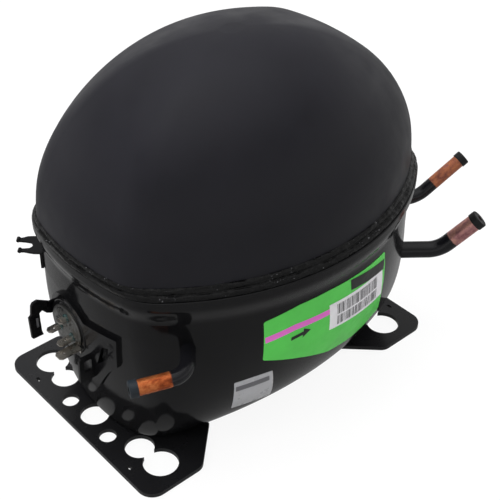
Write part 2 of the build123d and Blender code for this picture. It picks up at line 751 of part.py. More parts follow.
def rotor_core():
    """Rotor lamination stack."""
    sheet = Circle(ROTOR_R) - Circle(SHAFT_R)
    for x, y in cage_spots():
        sheet -= Pos(x - AXIS_X, y) * Circle(2.1)
    return Pos(AXIS_X, 0, STATOR_Z0) * extrude(sheet, STATOR_Z1 - STATOR_Z0)


def rotor_cage():
    """Cast aluminium cage with end rings and fan pips."""
    top = rod_z(27.0, AXIS_X, 0, STATOR_Z1, STATOR_Z1 + ROTOR_END) - rod_z(19.0, AXIS_X, 0, 0, 200)
    low = rod_z(27.0, AXIS_X, 0, STATOR_Z0 - ROTOR_END, STATOR_Z0) - rod_z(16.0, AXIS_X, 0, 0, 200)
    cage = top + low
    for x, y in cage_spots():
        cage += rod_z(2.1, x, y, STATOR_Z0 - 1, STATOR_Z1 + 1)
    return cage


# ---------------------------------------------------------------- crank
SHAFT_Z0 = 30.0


def crankshaft():
    """Shaft, counterweighted web and crankpin, drilled for oil."""
    body = rod_z(SHAFT_R, AXIS_X, 0, SHAFT_Z0, WEB_Z0 + 1)
    body += rod_z(15.5, AXIS_X, 0, WEB_Z0, WEB_Z1)
    half_disc = Circle(23.0) - Pos(23.0 + 2, 0) * Rectangle(46, 60)
    body += Pos(AXIS_X, 0, WEB_Z0) * extrude(half_disc, WEB_Z1 - WEB_Z0)
    body += rod_z(CRANKPIN_R, AXIS_X + THROW, 0, WEB_Z1 - 1, PIN_TOP)
    oilway = Pos(AXIS_X, 0, 0) * Line((0, 0, SHAFT_Z0 - 1), (4.5, 0, 118.0))
    body -= sweep(Plane(origin=oilway @ 0, z_dir=oilway % 0) * Circle(1.8), path=oilway)
    body -= rod_x(1.5, 0, 116.0, AXIS_X, AXIS_X + SHAFT_R + 2)
    body -= rod_z(1.5, AXIS_X + 4.5, 0, 115.0, PIN_TOP + 1)
    body -= rod_z(3.2, AXIS_X, 0, SHAFT_Z0 - 1, SHAFT_Z0 + 12)
    return body


def oil_pickup():
    """Pick-up tube dipping into the oil sump."""
    tube = rod_z(3.2, AXIS_X, 0, 15.0, SHAFT_Z0 + 12) - rod_z(2.2, AXIS_X, 0, 10.0, 60.0)
    lip = rod_z(5.0, AXIS_X, 0, SHAFT_Z0 - 2.0, SHAFT_Z0) - rod_z(2.2, AXIS_X, 0, 10.0, 60.0)
    return tube + lip


def thrust_washer():
    """Washer between the block deck and the crank web."""
    return rod_z(14.0, AXIS_X, 0, DECK_Z1, WEB_Z0) - rod_z(SHAFT_R + 0.4, AXIS_X, 0, DECK_Z1 - 1, WEB_Z0 + 1)


def bush_z0():
    """Underside of the crankpin bush."""
    return CYL_Z - BUSH_H / 2


def crankpin_bush():
    """Eccentric bush on the crankpin."""
    body = rod_z(BUSH_R, AXIS_X + 2 * THROW, 0, bush_z0(), bush_z0() + BUSH_H)
    body -= rod_z(CRANKPIN_R + RUN_FIT, AXIS_X + THROW, 0, 100, 200)
    return body


# ---------------------------------------------------------------- rod and piston (drawn at top dead centre)
def big_end_x():
    """Big-end centre at top dead centre."""
    return AXIS_X + 2 * THROW


def wrist_x():
    """Wrist pin centre at top dead centre."""
    return big_end_x() + ROD_LENGTH


def connecting_rod():
    """Rod with its two eyes."""
    z0 = CYL_Z - 6.0
    z1 = CYL_Z + 6.0
    body = rod_z(ROD_EYE_R, big_end_x(), 0, z0, z1) + rod_z(7.2, wrist_x(), 0, CYL_Z - 4.5, CYL_Z + 4.5)
    body += block(big_end_x(), wrist_x(), -4.0, 4.0, CYL_Z - 4.0, CYL_Z + 4.0)
    body -= rod_z(BUSH_R + RUN_FIT, big_end_x(), 0, 100, 200)
    body -= rod_z(WRIST_R, wrist_x(), 0, 100, 200)
    return body


def piston():
    """Piston with its rod pocket and a relief for the suction reed."""
    x0 = wrist_x() + PISTON_CROWN - PISTON_LENGTH
    x1 = wrist_x() + PISTON_CROWN
    body = rod_x(PISTON_R, 0, CYL_Z, x0, x1)
    body -= rod_x(9.0, 0, CYL_Z, x0 - 1, x1 - 3.4)
    body -= rod_z(WRIST_R, wrist_x(), 0, 100, 200)
    body -= rod_x(1.0, 0, CYL_Z + LOCK_Z, x0 - 1, wrist_x())
    return body - block(x1 - 0.6, x1 + 1, -10.0, -1.0, CYL_Z - 9, CYL_Z + 5.5)


def wrist_pin():
    """Hollow wrist pin."""
    half = 10.8
    pin = rod_z(WRIST_R, wrist_x(), 0, CYL_Z - half, CYL_Z + half)
    pin -= rod_z(2.6, wrist_x(), 0, 100, 200)
    return pin - rod_x(1.0, 0, CYL_Z + LOCK_Z, wrist_x() - 8, wrist_x() + WRIST_R - 0.5)


def wrist_pin_lock():
    """Cross pin driven through the piston skirt into the wrist pin."""
    start = wrist_x() + PISTON_CROWN - PISTON_LENGTH + 1.0
    return rod_x(1.0, 0, CYL_Z + LOCK_Z, start, wrist_x() + WRIST_R - 0.5)


# ---------------------------------------------------------------- block
def cylinder_block():
    """Cast block: deck, main bearing, legs, cylinder barrel and discharge chamber."""
    half = STATOR_HALF - 2
    sheet = Rectangle(2 * half, 2 * half)
    sheet = chamfer(sheet.vertices(), 8.0)
    for angle in (45, 135, 225, 315):
        sheet -= Rot(0, 0, angle - 45) * Pos(half + 4, 0) * Circle(26.0)
    deck = Pos(AXIS_X, 0, DECK_Z0) * extrude(sheet, DECK_Z1 - DECK_Z0)
    body = deck + rod_z(16.5, AXIS_X, 0, STATOR_Z1 + 1.5, DECK_Z0 + 1)
    for x, y in corner_spots():
        body += rod_z(6.5, x, y, STATOR_Z1, DECK_Z1)
    body += block(BLOCK_X0, BLOCK_X1, -HEAD_HALF_Y, HEAD_HALF_Y, DECK_Z0, CYL_Z + HEAD_HALF_Z)
    body += rod_z(DMUF_R, DMUF_X, DMUF_Y, DECK_Z0, DMUF_TOP)
    body -= rod_z(SHAFT_R + RUN_FIT, AXIS_X, 0, 50, 200)
    body -= rod_z(24.5, AXIS_X, 0, DECK_Z1, 200) & block(AXIS_X - 60, BLOCK_X0 + 8, -60, 60, 100, 200)
    body -= rod_x(BORE_R, 0, CYL_Z, BLOCK_X0 - 5, BLOCK_X1 + 1)
    body -= rod_z(DMUF_R - 3, DMUF_X, DMUF_Y, DECK_Z0 + 4, DMUF_TOP + 1)
    body -= rod_x(2.5, 16.0, CYL_Z - 12.0, DMUF_X + 3, BLOCK_X1 + 1)
    body -= rod_y(2.5, DMUF_X + 5, CYL_Z - 12.0, 16.0, DMUF_Y)
    body -= rod_x(LINE_R, DMUF_Y, LINE_Z, DMUF_X + 5, DMUF_X + DMUF_R + 1)
    for x, y in corner_spots():
        body -= rod_z(BOLT_R, x, y, STATOR_Z1 - 1, DECK_Z1 - 2)
    for y, z in head_bolt_spots():
        body -= rod_x(HEAD_BOLT_R, y, z, BLOCK_X1 - 14, BLOCK_X1 + 1)
    body -= rod_z(2.0, DMUF_X, DMUF_Y, DECK_Z0 + 1, DECK_Z0 + 5)
    return body


def discharge_muffler_cover():
    """Cover cup of the discharge chamber on the block."""
    body = rod_z(DMUF_R - 1.3, DMUF_X, DMUF_Y, DMUF_TOP, DMUF_TOP + 2.0)
    body += rod_z(DMUF_R - 3.2, DMUF_X, DMUF_Y, DMUF_TOP - 2.0, DMUF_TOP)
    return body - rod_z(2.0, DMUF_X, DMUF_Y, DMUF_TOP - 3, DMUF_TOP + 3)


def discharge_muffler_bolt():
    """Bolt through the discharge chamber cover."""
    head = extrude(Pos(DMUF_X, DMUF_Y, DMUF_TOP + 2.0) * RegularPolygon(4.0, 6), 3.0)
    return head + rod_z(2.0, DMUF_X, DMUF_Y, DECK_Z0 + 1, DMUF_TOP + 2.5)


# ---------------------------------------------------------------- head stack
def head_bolt_spots():
    """Centres of the four head bolts."""
    spots = []
    for sy in (-1, 1):
        for sz in (-1, 1):
            spots.append((sy * HEAD_BOLT_Y, CYL_Z + sz * HEAD_BOLT_Z))
    return spots


def stack_plate(x0, x1):
    """Plate of the head stack with its bolt and passage holes."""
    body = block(x0, x1, -HEAD_HALF_Y, HEAD_HALF_Y, CYL_Z - HEAD_HALF_Z, CYL_Z + HEAD_HALF_Z)
    corners = body.edges().filter_by(Axis.X)
    body = fillet(corners, 4.0)
    for y, z in head_bolt_spots():
        body -= rod_x(HEAD_BOLT_R, y, z, x0 - 1, x1 + 1)
    return body


def cylinder_gasket():
    """Gasket between block and suction reed plate."""
    body = stack_plate(X_GASKET, X_REED) - rod_x(BORE_R + 1.0, 0, CYL_Z, X_GASKET - 1, X_REED + 1)
    return body - rod_x(2.5, 16.0, CYL_Z - 12.0, X_GASKET - 1, X_REED + 1)


def suction_reed():
    """Spring-steel sheet with the suction tongue cut free inside the bore."""
    body = stack_plate(X_REED, X_VALVE)
    y, z = SUCTION_PORT
    window = rod_x(BORE_R - 0.5, 0, CYL_Z, X_REED - 1, X_VALVE + 1)
    tongue = block(X_REED - 2, X_VALVE + 2, y - 3.4, y + 3.4, CYL_Z - 20, z)
    tongue += rod_x(4.2, y, z, X_REED - 2, X_VALVE + 2)
    body -= window - tongue
    return body - rod_x(2.5, 16.0, CYL_Z - 12.0, X_REED - 1, X_VALVE + 1)


def valve_plate():
    """Valve plate with suction, discharge and return ports."""
    body = stack_plate(X_VALVE, X_HGASKET)
    body -= rod_x(3.0, SUCTION_PORT[0], SUCTION_PORT[1], X_VALVE - 1, X_HGASKET + 1)
    body -= rod_x(2.4, DISCHARGE_PORT[0], DISCHARGE_PORT[1], X_VALVE - 1, X_HGASKET + 1)
    body -= rod_x(2.5, 16.0, CYL_Z - 12.0, X_VALVE - 1, X_HGASKET + 1)
    return body - rod_x(1.0, DISCHARGE_PORT[0], CYL_Z - 11.0, X_VALVE + 1, X_HGASKET + 1)


def head_gasket():
    """Gasket between valve plate and head, open at both chambers."""
    body = stack_plate(X_HGASKET, X_HEAD)
    body -= block(X_HGASKET - 1, X_HEAD + 1, -13.0, -1.5, CYL_Z - 14, CYL_Z + 14)
    return body - block(X_HGASKET - 1, X_HEAD + 1, 1.5, 19.0, CYL_Z - 14.5, CYL_Z + 10)


def discharge_reed():
    """Discharge reed lying on the valve plate."""
    y, z = DISCHARGE_PORT
    body = block(X_HGASKET, X_HGASKET + REED_T, y - 3.0, y + 3.0, CYL_Z - 13.5, z)
    body += rod_x(3.4, y, z, X_HGASKET, X_HGASKET + REED_T)
    return body - rod_x(1.0, y, CYL_Z - 11.0, X_HGASKET - 1, X_HGASKET + 2)


def reed_stop():
    """Stiff stop limiting the lift of the discharge reed."""
    y, z = DISCHARGE_PORT
    x0 = X_HGASKET + REED_T
    body = block(x0, x0 + 1.2, y - 3.0, y + 3.0, CYL_Z - 13.5, CYL_Z - 7.5)
    body += block(x0 + 1.0, x0 + 2.2, y - 3.0, y + 3.0, CYL_Z - 8.5, z + 3)
    return body - rod_x(1.0, y, CYL_Z - 11.0, x0 - 1, x0 + 3)


def reed_rivet():
    """Rivet through the stop and the discharge reed."""
    y = DISCHARGE_PORT[0]
    x0 = X_HGASKET + REED_T + 1.2
    return rod_x(1.0, y, CYL_Z - 11.0, X_VALVE + 1, x0) + rod_x(1.9, y, CYL_Z - 11.0, x0, x0 + 0.8)


def cylinder_head():
    """Head with its suction and discharge chambers."""
    body = block(X_HEAD, X_END, -HEAD_HALF_Y, HEAD_HALF_Y, CYL_Z - HEAD_HALF_Z, CYL_Z + HEAD_HALF_Z)
    body = fillet(body.edges().filter_by(Axis.X), 4.0)
    outer = body.faces().sort_by(Axis.X)[-1]
    body = fillet(outer.edges(), 2.0)
    body -= block(X_HEAD - 1, X_END - 4, -13.0, -1.5, CYL_Z - 14, CYL_Z + 14)
    body -= block(X_HEAD - 1, X_END - 4, 1.5, 19.0, CYL_Z - 10.5, CYL_Z + 10)
    body -= block(X_HEAD - 1, X_HEAD + 6, 1.5, 19.0, CYL_Z - 14.5, CYL_Z - 9)
    for y, z in head_bolt_spots():
        body -= rod_x(HEAD_BOLT_R, y, z, X_HEAD - 1, X_END + 1)
    return body - rod_z(NECK_R, NECK_X, NECK_Y, CYL_Z - HEAD_HALF_Z - 1, CYL_Z - 10)


NECK_R = 4.5
NECK_X = X_HEAD + 7.5
NECK_Y = -7.2


def head_bolts():
    """Four hex-head bolts clamping the head stack."""
    bolts = []
    for y, z in head_bolt_spots():
        hexagon = Plane(origin=(X_END, y, z), z_dir=(1, 0, 0)) * RegularPolygon(4.2, 6)
        bolts.append(extrude(hexagon, 3.4) + rod_x(HEAD_BOLT_R, y, z, BLOCK_X1 - 14, X_END + 1))
    return Compound(children=bolts)


# ---------------------------------------------------------------- suction muffler
MUF_SPLIT = 96.0


def muffler_shell(z0, z1, r):
    """Rounded box of the suction muffler."""
    body = block(MUF_X0, MUF_X1, MUF_Y0, MUF_Y1, z0, z1)
    return fillet(body.edges().filter_by(Axis.Z), r)


def suction_muffler_body():
    """Lower half of the plastic suction muffler with its inlet funnel."""
    body = muffler_shell(MUF_Z0, MUF_SPLIT, 6.0)
    cavity = block(MUF_X0 + MUF_WALL, MUF_X1 - MUF_WALL, MUF_Y0 + MUF_WALL, MUF_Y1 - MUF_WALL,
                   MUF_Z0 + MUF_WALL, MUF_SPLIT + 1)
    body -= fillet(cavity.edges().filter_by(Axis.Z), 4.0)
    inlet = rod_z(5.5, MUF_X1 - 9, MUF_Y0 + 9, MUF_Z0 - 6, MUF_Z0 + 12)
    body += inlet
    return body - rod_z(4.0, MUF_X1 - 9, MUF_Y0 + 9, MUF_Z0 - 7, MUF_Z0 + 13)


def suction_muffler_cover():
    """Upper half of the suction muffler with the neck into the head."""
    body = muffler_shell(MUF_SPLIT, MUF_Z1, 6.0)
    cavity = block(MUF_X0 + MUF_WALL, MUF_X1 - MUF_WALL, MUF_Y0 + MUF_WALL, MUF_Y1 - MUF_WALL,
                   MUF_SPLIT - 1, MUF_Z1 - MUF_WALL)
    body -= fillet(cavity.edges().filter_by(Axis.Z), 4.0)
    neck_block = block(NECK_X - 7.5, NECK_X + 7.5, MUF_Y1 - 6, NECK_Y + 7.5, MUF_Z1 - 8, MUF_Z1)
    body += neck_block
    body += rod_z(NECK_R, NECK_X, NECK_Y, MUF_Z1 - 3, CYL_Z - HEAD_HALF_Z + 4)
    body += rod_z(NECK_R + 2.5, NECK_X, NECK_Y, MUF_Z1 - 1, CYL_Z - HEAD_HALF_Z)
    body -= rod_z(NECK_R - 1.5, NECK_X, NECK_Y, MUF_Z1 - 5.5, CYL_Z)
    return body - rod_y(2.6, NECK_X, MUF_Z1 - 4.2, MUF_Y1 - 8, NECK_Y)


# ---------------------------------------------------------------- inner discharge line and leads


def discharge_line():
    """Bent inner discharge line from the block chamber to the stub."""
    x, y, z = DISCHARGE_ROUTE[0]
    route = [
        (DMUF_X + DMUF_R - 3, DMUF_Y, LINE_Z),
        (72.0, DMUF_Y, LINE_Z),
        (91.0, 26.0, 110.0),
        (91.0, 26.0, 40.0),
        (93.0, -6.0, 40.0),
        (93.0, -6.0, z - 4),
        (x - 4.0, y + 1.3, z),
        (x + 6.0, y - 1.9, z),
    ]
    return pipe(route, 5.0, LINE_R, LINE_R - LINE_WALL)


PLUG_REAR = 17.0       # rear face of the plug behind the end of the wall
LEAD_SPREAD = (0.55, 0.375, 0.2)  # where the leads turn down between the plug and the stator


def terminal_plug():
    """Moulded plug pushed onto the inner ends of the terminal pins."""
    x = end_x()
    body = block(x + 6.6, x + PLUG_REAR, TERM_Y - 9, TERM_Y + 9, TERM_Z - 7.5, TERM_Z + 9)
    body = fillet(body.edges().filter_by(Axis.X), 3.0)
    for y, z in pin_spots():
        body -= rod_x(PIN_R + 0.05, y, z, x, x + 13.0)
        body -= rod_x(1.0, y, z, x + 12.0, x + PLUG_REAR + 1)
    return body


def motor_leads():
    """Three insulated leads from the plug to the lower end turns."""
    x = end_x()
    room = AXIS_X - STATOR_HALF - x - PLUG_REAR
    leads = []
    for (y, z), share in zip(pin_spots(), LEAD_SPREAD):
        drop = x + PLUG_REAR + room * share
        low = STATOR_Z0 - 7.0
        route = [
            (x + 14.0, y, z),
            (drop, y, z),
            (drop, y, low),
            (AXIS_X - 47.0, y * 0.6, low),
        ]
        leads.append(pipe(route, 3.0, 1.0) - rod_z(47.5, AXIS_X, 0, low - 5, low + 5))
    return Compound(children=leads)


# ---------------------------------------------------------------- write the pieces
save("lower_housing", lower_housing())
save("upper_housing", upper_housing())
save("seam_weld", seam_weld())
save("foot_plate_near", foot_plate(-1))
save("foot_plate_far", foot_plate(1))
save("suction_stub", stub(SUCTION_ROUTE, LINE_BEND, SUCTION_R))
save("discharge_stub", stub(DISCHARGE_ROUTE, LINE_BEND, SERVICE_R))
save("process_stub", stub(PROCESS_ROUTE, PROCESS_BEND, SERVICE_R))
save("suction_cap", cap(SUCTION_ROUTE, SUCTION_R))
save("discharge_cap", cap(DISCHARGE_ROUTE, SERVICE_R))
save("process_cap", cap(PROCESS_ROUTE, SERVICE_R))
save("terminal_header", terminal_header())
save("terminal_glass", terminal_glass())
save("terminal_pins", terminal_pins())
save("terminal_bracket", terminal_bracket())
save("earth_spade", earth_spade())
save("hook_clip", hook_clip())
save("rating_label", wall_label(RATING_OUTLINE, 1.6))
save("serial_label", wall_label(SERIAL_OUTLINE, 0.6))
save("spring_seats_lower", spring_seats_lower())
save("suspension_springs", suspension_springs())
save("spring_buttons_upper", spring_buttons_upper())
save("stator_core", stator_core())
save("slot_liners", slot_liners())
save("main_winding", main_winding())
save("start_winding", start_winding())
save("stator_bolts", stator_bolts())
save("rotor_core", rotor_core())
save("rotor_cage", rotor_cage())
save("crankshaft", crankshaft())
save("oil_pickup", oil_pickup())
save("thrust_washer", thrust_washer())
save("crankpin_bush", crankpin_bush())
save("connecting_rod", connecting_rod())
save("piston", piston())
save("wrist_pin", wrist_pin())
save("wrist_pin_lock", wrist_pin_lock())
save("cylinder_block", cylinder_block())
save("discharge_muffler_cover", discharge_muffler_cover())
save("discharge_muffler_bolt", discharge_muffler_bolt())
save("cylinder_gasket", cylinder_gasket())
save("suction_reed", suction_reed())
save("valve_plate", valve_plate())
save("head_gasket", head_gasket())
save("discharge_reed", discharge_reed())
save("reed_stop", reed_stop())
save("reed_rivet", reed_rivet())
save("cylinder_head", cylinder_head())
save("head_bolts", head_bolts())
save("suction_muffler_body", suction_muffler_body())
save("suction_muffler_cover", suction_muffler_cover())
save("discharge_line", discharge_line())
save("terminal_plug", terminal_plug())
save("motor_leads", motor_leads())
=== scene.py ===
import bpy
import math
import random
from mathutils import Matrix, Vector, noise
from mathutils.bvhtree import BVHTree


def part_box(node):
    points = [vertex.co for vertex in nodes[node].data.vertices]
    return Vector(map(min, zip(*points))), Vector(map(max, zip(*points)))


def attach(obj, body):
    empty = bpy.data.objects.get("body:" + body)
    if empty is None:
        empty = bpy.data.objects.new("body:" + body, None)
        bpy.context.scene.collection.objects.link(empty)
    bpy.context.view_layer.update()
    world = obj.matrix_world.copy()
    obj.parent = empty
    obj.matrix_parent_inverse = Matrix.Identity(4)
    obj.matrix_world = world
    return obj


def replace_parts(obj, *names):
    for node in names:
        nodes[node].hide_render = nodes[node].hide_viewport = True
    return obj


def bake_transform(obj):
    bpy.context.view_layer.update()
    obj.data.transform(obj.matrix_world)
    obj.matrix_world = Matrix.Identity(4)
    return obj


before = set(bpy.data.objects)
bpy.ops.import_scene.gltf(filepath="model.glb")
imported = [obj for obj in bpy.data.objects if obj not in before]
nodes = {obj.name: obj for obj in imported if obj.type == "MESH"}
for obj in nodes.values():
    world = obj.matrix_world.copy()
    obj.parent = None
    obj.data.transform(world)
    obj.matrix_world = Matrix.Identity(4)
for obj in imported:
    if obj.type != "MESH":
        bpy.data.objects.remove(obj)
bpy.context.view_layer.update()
random.seed(7)


def add_object(name, data):
    """New object in the scene."""
    ob = bpy.data.objects.new(name, data)
    bpy.context.scene.collection.objects.link(ob)
    return ob


# ---------------------------------------------------------------- camera
AZIMUTH = math.radians(-40.61)
ELEVATION = math.radians(34.58)
DISTANCE = 0.58871
AIM = Vector((0, 0, 0.1))
FOCAL_LENGTH = 78.29208    # millimetres, on a 36 mm sensor

back = Vector((math.sin(AZIMUTH) * math.cos(ELEVATION), -math.cos(AZIMUTH) * math.cos(ELEVATION),
               math.sin(ELEVATION)))
cam_data = bpy.data.cameras.new("camera")
cam = add_object("camera", cam_data)
cam.location = AIM + back * DISTANCE
cam.rotation_euler = back.to_track_quat("Z", "Y").to_euler()
cam_data.sensor_width = 36
cam_data.lens = FOCAL_LENGTH
cam_data.shift_x = 0.0576
cam_data.shift_y = -0.0886
cam_data.clip_start = 0.01
bpy.context.scene.camera = cam
bpy.context.scene.view_settings.view_transform = "Standard"


# ---------------------------------------------------------------- materials
SOCKETS = {
    "color": "Base Color",
    "rough": "Roughness",
    "metal": "Metallic",
    "coat": "Coat Weight",
    "coat_rough": "Coat Roughness",
    "spec": "Specular IOR Level",
}


def lin(c):
    """sRGB 0..255 to linear."""
    shares = [v / 255 for v in c]
    return tuple(s / 12.92 if s <= 0.04045 else ((s + 0.055) / 1.055) ** 2.4 for s in shares)


class Mat:
    """A node material with object coordinates and a few helpers."""

    def __init__(self, name):
        self.m = bpy.data.materials.new(name)
        self.m.use_nodes = True
        self.t = self.m.node_tree
        self.t.nodes.clear()
        self.out = self.t.nodes.new("ShaderNodeOutputMaterial")
        self.b = self.t.nodes.new("ShaderNodeBsdfPrincipled")
        self.t.links.new(self.b.outputs[0], self.out.inputs[0])
        self.co = self.t.nodes.new("ShaderNodeTexCoord").outputs["Object"]

    def link(self, a, b):
        self.t.links.new(a, b)

    def noise(self, scale, detail=3.0, rough=0.5, stretch=None):
        """Noise field; stretch scales its three axes."""
        n = self.t.nodes.new("ShaderNodeTexNoise")
        n.inputs["Scale"].default_value = scale
        n.inputs["Detail"].default_value = detail
        n.inputs["Roughness"].default_value = rough
        src = self.co
        if stretch:
            mp = self.t.nodes.new("ShaderNodeMapping")
            mp.inputs["Scale"].default_value = stretch
            self.link(self.co, mp.inputs[0])
            src = mp.outputs[0]
        self.link(src, n.inputs["Vector"])
        return n.outputs["Fac"]

    def ramp(self, fac, stops):
        """Colours by a field; stops are (place, colour)."""
        n = self.t.nodes.new("ShaderNodeValToRGB")
        e = n.color_ramp.elements
        while len(e) < len(stops):
            e.new(0.5)
        for el, (pos, col) in zip(e, stops):
            el.position = pos
            el.color = (*col, 1)
        self.link(fac, n.inputs[0])
        return n.outputs["Color"]

    def grey(self, fac, stops):
        """Greys by a field; stops are (place, level)."""
        return self.ramp(fac, [(p, (v, v, v)) for p, v in stops])

    def span(self, fac, lo, hi):
        """The middle of a noise field stretched over lo to hi."""
        n = self.t.nodes.new("ShaderNodeMapRange")
        n.inputs["From Min"].default_value = 0.3
        n.inputs["From Max"].default_value = 0.7
        n.inputs["To Min"].default_value = lo
        n.inputs["To Max"].default_value = hi
        self.link(fac, n.inputs[0])
        return n.outputs[0]

    def math(self, op, a, b):
        """One arithmetic step between fields or numbers."""
        n = self.t.nodes.new("ShaderNodeMath")
        n.operation = op
        for i, v in enumerate((a, b)):
            if isinstance(v, (int, float)):
                n.inputs[i].default_value = v
            else:
                self.link(v, n.inputs[i])
        return n.outputs[0]

    def mix(self, fac, a, b):
        """Colour a where fac is 0, colour b where it is 1."""
        n = self.t.nodes.new("ShaderNodeMix")
        n.data_type = "RGBA"
        for key, v in ((0, fac), (6, a), (7, b)):
            if isinstance(v, tuple):
                n.inputs[key].default_value = (*v, 1)
            else:
                self.link(v, n.inputs[key])
        return n.outputs[2]

    def axis(self, direction):
        """Distance along a direction, in metres."""
        n = self.t.nodes.new("ShaderNodeVectorMath")
        n.operation = "DOT_PRODUCT"
        self.link(self.co, n.inputs[0])
        n.inputs[1].default_value = direction
        return n.outputs["Value"]

    def bump(self, heights):
        """heights: list of (field, distance in metres)."""
        last = None
        for h, dist in heights:
            n = self.t.nodes.new("ShaderNodeBump")
            n.inputs["Strength"].default_value = 1.0
            n.inputs["Distance"].default_value = dist
            self.link(h, n.inputs["Height"])
            if last is not None:
                self.link(last, n.inputs["Normal"])
            last = n.outputs[0]
        self.link(last, self.b.inputs["Normal"])

    def set(self, **looks):
        """Sockets of the shader from numbers, colours or fields."""
        for key, v in looks.items():
            socket = self.b.inputs[SOCKETS[key]]
            if isinstance(v, (int, float)):
                socket.default_value = v
            elif isinstance(v, tuple):
                socket.default_value = (*v, 1)
            else:
                self.link(v, socket)


def scaled(c, k):
    return tuple(min(1.0, v * k) for v in c)


def mottled(m, scale, color, low, high):
    """A colour that wanders between two shares of itself."""
    return m.ramp(m.noise(scale, 4), [(0.3, scaled(color, low)), (0.7, scaled(color, high))])


def simple(name, color, rough, metal=0.0, grain=400, depth=0.00003, var=0.12, stretch=None, fine=None,
           spec=None):
    """Worn surface: mottled colour, uneven roughness and a fine bump."""
    uneven = 0.06
    m = Mat(name)
    m.set(color=mottled(m, grain / 8, color, 1 - var, 1 + var), metal=metal)
    m.set(rough=m.span(m.noise(grain / 4, 3), max(0.02, rough - uneven), min(1.0, rough + uneven)))
    heights = [(m.noise(grain, 3, stretch=stretch), depth)]
    if fine:
        heights.append((m.noise(fine[0], 2), fine[1]))
    m.bump(heights)
    if spec is not None:
        m.set(spec=spec)
    return m.m


def enamel(name, color, rough, wave, peel, spec, dust):
    """Baked enamel over sheet steel: long waves, orange peel and a few dull specks."""
    m = Mat(name)
    base = mottled(m, 30, color, 0.9, 1.12)
    specks = m.grey(m.noise(1400, 2), [(0.70, 0.0), (0.80, 1.0)])
    m.set(color=m.mix(m.math("MULTIPLY", specks, dust), base, (0.10, 0.10, 0.105)))
    m.set(rough=m.span(m.noise(60, 5), rough * 0.85, rough * 1.2), spec=spec)
    m.bump([(m.noise(14, 2), wave), (m.noise(900, 2), peel)])
    return m.m


def weld_material():
    """Enamel over a rough double bead, with a few small painted glints: light spots in the colour standing
    in for highlights on the bead.
    """
    m = Mat("weld_bead")
    lumps = m.noise(170, 4, 0.55)
    # painted glints: light grey spots and patches in the colour, standing in for highlights off the rough
    # bead
    glint_spots = m.grey(m.noise(900, 2, 0.5), [(0.65, 0.0), (0.71, 1.0)])
    glint_patches = m.grey(m.noise(70, 3), [(0.52, 0.0), (0.62, 1.0)])
    painted_glints = m.math("MULTIPLY", glint_spots, glint_patches)
    m.set(color=m.mix(painted_glints, (0.0028, 0.0028, 0.003), (0.15, 0.15, 0.16)))
    m.set(rough=m.span(lumps, 0.16, 0.34), spec=0.22)
    m.bump([(lumps, 0.0009), (m.noise(1500, 2), 0.00006)])
    return m.m


def copper_tube(name, direction, start, tints):
    """Copper beyond a line across the tube, black enamel before it."""
    enamel_black = (0.006, 0.006, 0.0075)
    m = Mat(name)
    along = m.math("SUBTRACT", m.axis(direction), start)
    waver = m.math("MULTIPLY", m.math("SUBTRACT", m.noise(350, 4), 0.5), 0.001)
    edge = m.math("MULTIPLY", m.math("ADD", along, waver), 1400)
    edge = m.math("MINIMUM", m.math("MAXIMUM", edge, 0.0), 1.0)
    streaks = m.noise(240, 5, 0.65, stretch=tuple(1.0 - 0.55 * abs(v) for v in direction))
    copper = m.ramp(streaks, list(zip((0.30, 0.44, 0.56, 0.70), (lin(t) for t in tints))))
    m.set(color=m.mix(edge, enamel_black, copper), metal=m.math("MULTIPLY", edge, 0.8), spec=0.35)
    m.set(rough=m.math("ADD", m.math("MULTIPLY", edge, 0.2), m.span(m.noise(300, 4), 0.12, 0.22)))
    m.bump([(m.noise(500, 4, 0.6), 0.00012), (m.noise(2200, 2), 0.00003)])
    return m.m


def lamination():
    """Edges of stacked sheets, one millimetre apart."""
    sheet = 0.001
    m = Mat("lamination")
    bands = m.math("SINE", m.math("MULTIPLY", m.axis((0, 0, 1)), 2 * math.pi / sheet), 0.0)
    m.set(color=m.ramp(m.noise(120, 4), [(0.3, lin((88, 88, 96))), (0.7, lin((124, 124, 130)))]))
    m.set(rough=m.span(m.noise(400, 3), 0.34, 0.5), metal=0.9)
    m.bump([(bands, 0.00012), (m.noise(1200, 2), 0.00003)])
    return m.m


def winding(name, dark, light):
    """Enamelled wire laid in uneven turns."""
    wire = 0.0009
    m = Mat(name)
    lay = m.math("ADD", m.axis((0.3, 0.2, 0.93)), m.math("MULTIPLY", m.noise(60, 3), 0.004))
    turns = m.math("SINE", m.math("MULTIPLY", lay, 2 * math.pi / wire), 0.0)
    m.set(color=m.ramp(m.noise(220, 4), [(0.3, lin(dark)), (0.7, lin(light))]))
    m.set(rough=0.28, metal=0.6, coat=0.4)
    m.bump([(turns, 0.0003), (m.noise(300, 3), 0.0004)])
    return m.m


def film(name, color, rough):
    """Printed label film with faint creases."""
    m = Mat(name)
    m.set(color=mottled(m, 70, color, 0.94, 1.05), coat=0.08, coat_rough=0.12, spec=0.3)
    m.set(rough=m.span(m.noise(200, 3), rough - 0.05, rough + 0.08))
    m.bump([(m.noise(60, 3), 0.0004), (m.noise(1500, 2), 0.00001)])
    return m.m


# last bend and open end of each stub, millimetres
SUCTION_END = (116.5, -61.5, 48.8), (132.8, -74.8, 70.3)
DISCHARGE_END = (128.0, -33.0, 67.2), (154.4, -42.4, 88.2)
PROCESS_END = (-82.3, -71.3, 77.2), (-108.1, -60.8, 76.1)


def way_out(leg):
    """Direction in which a stub leaves its last bend."""
    return (Vector(leg[1]) - Vector(leg[0])).normalized()


def bare(leg, length):
    """Direction of a stub and the place along it where its bare end of that length begins."""
    way = way_out(leg)
    return tuple(way), way.dot(Vector(leg[1]) / 1000) - length / 1000


